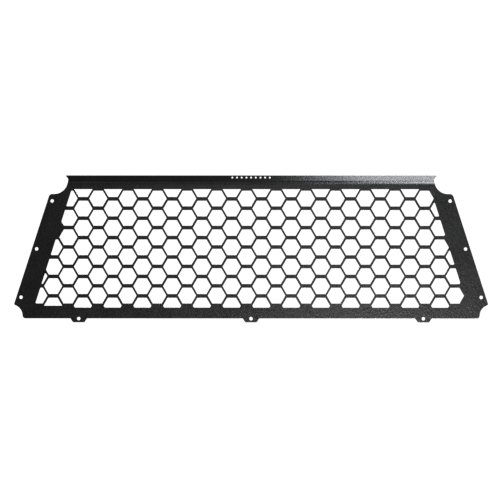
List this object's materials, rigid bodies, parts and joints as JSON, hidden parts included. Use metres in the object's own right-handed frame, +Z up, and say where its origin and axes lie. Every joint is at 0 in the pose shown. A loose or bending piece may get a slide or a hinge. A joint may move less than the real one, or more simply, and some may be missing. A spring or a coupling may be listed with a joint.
{
  "type": "headache rack",
  "caption": "Flat sheet-metal cab guard panel with a honeycomb window, sloping sides, scalloped corners, bolt tabs and a leaned-back top flange.",
  "frame": {"origin": "centre of the middle tab hole, on the back face of the sheet", "axes": "+X to the right seen from the front, +Y out of the back face (the side the flange leans to), +Z up"},
  "size_m": [1.3042, 0.0257, 0.4073],
  "materials": {
    "powder_coat": "fine-textured black powder coat"
  },
  "bodies": {
    "root": {"hex_panel": "powder_coat"}
  },
  "joints": []
}
